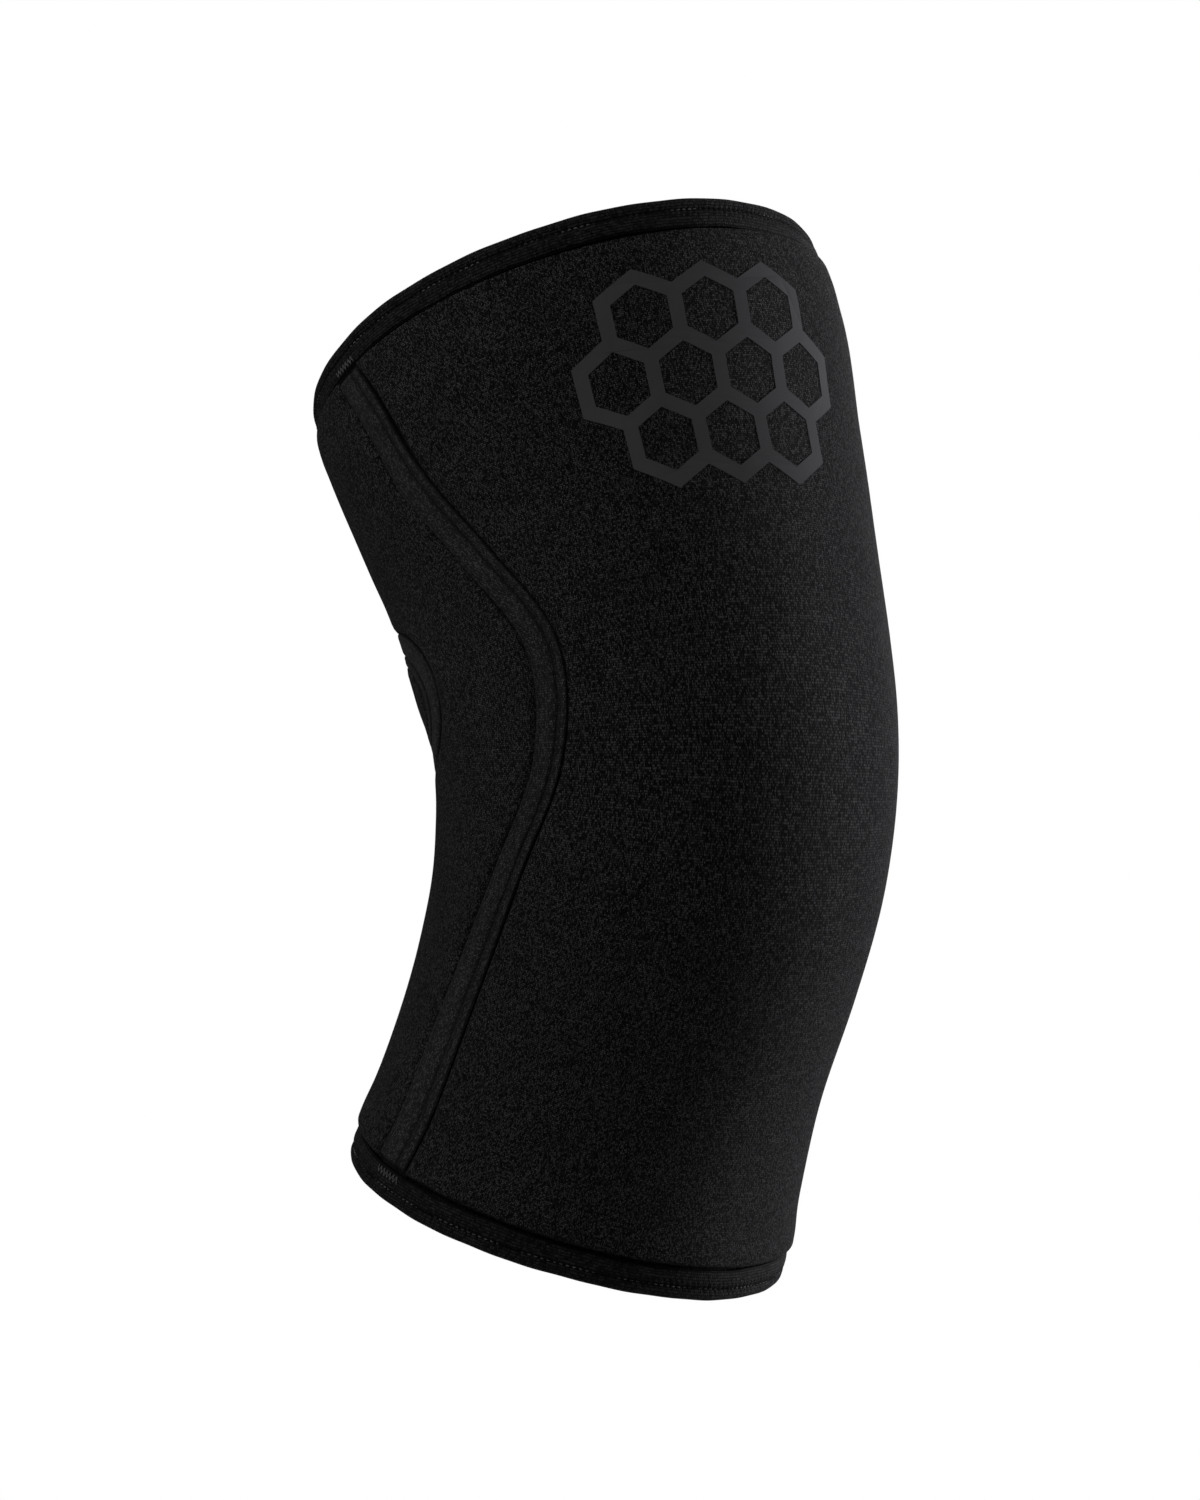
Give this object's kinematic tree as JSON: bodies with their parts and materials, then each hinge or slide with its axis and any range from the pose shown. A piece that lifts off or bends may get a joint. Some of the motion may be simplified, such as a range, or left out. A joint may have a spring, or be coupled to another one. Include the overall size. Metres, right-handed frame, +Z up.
{
  "type": "knee sleeve",
  "caption": "Thick knitted-face foam knee sleeve, bent as worn, with taped side seams, a taped insert behind the knee, bound rims and a honeycomb print.",
  "frame": {"origin": "centre of the knee, on the middle line of the leg inside the hollow", "axes": "+Z up the leg, -Y the front of the knee, -X the outer side of the leg"},
  "size_m": [0.1538, 0.1785, 0.3069],
  "materials": {
    "knit_neoprene": "fine black weft knit laminated on foam rubber, matte with a faint sheen and lighter flecks",
    "seam_tape": "smooth black stretch tape sewn flat in two strips",
    "edge_binding": "black folded stretch binding with a row of stitches",
    "print_film": "thin charcoal heat-transfer film, satin"
  },
  "bodies": {
    "root": {"front_panel": "knit_neoprene", "back_panel": "knit_neoprene", "knee_hollow_insert": "knit_neoprene", "side_seam_tape_left": "seam_tape", "side_seam_tape_right": "seam_tape", "hollow_seam_tape": "seam_tape", "top_binding": "edge_binding", "bottom_binding": "edge_binding", "thigh_print": "print_film"}
  },
  "joints": []
}
